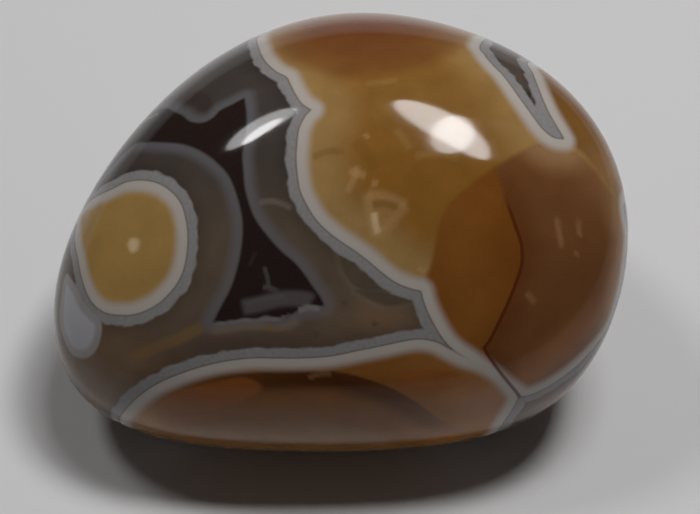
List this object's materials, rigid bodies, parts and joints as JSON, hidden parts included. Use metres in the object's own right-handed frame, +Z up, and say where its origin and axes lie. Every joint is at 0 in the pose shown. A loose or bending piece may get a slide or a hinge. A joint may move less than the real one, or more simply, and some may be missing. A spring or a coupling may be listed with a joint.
{
  "type": "polished agate pebble",
  "caption": "Tumbled and polished banded agate pebble, a smooth rounded wedge with honey eyes, white rims and grey bands, resting on a small flat spot",
  "frame": {"origin": "Middle of the bounding box's foot, on the surface that the pebble rests on", "axes": "+Z up, +X along the pebble's length, +Y towards its thicker back"},
  "size_m": [0.0376, 0.0298, 0.0219],
  "materials": {
    "agate": "polished"
  },
  "bodies": {
    "root": {"agate": "agate"}
  },
  "joints": []
}
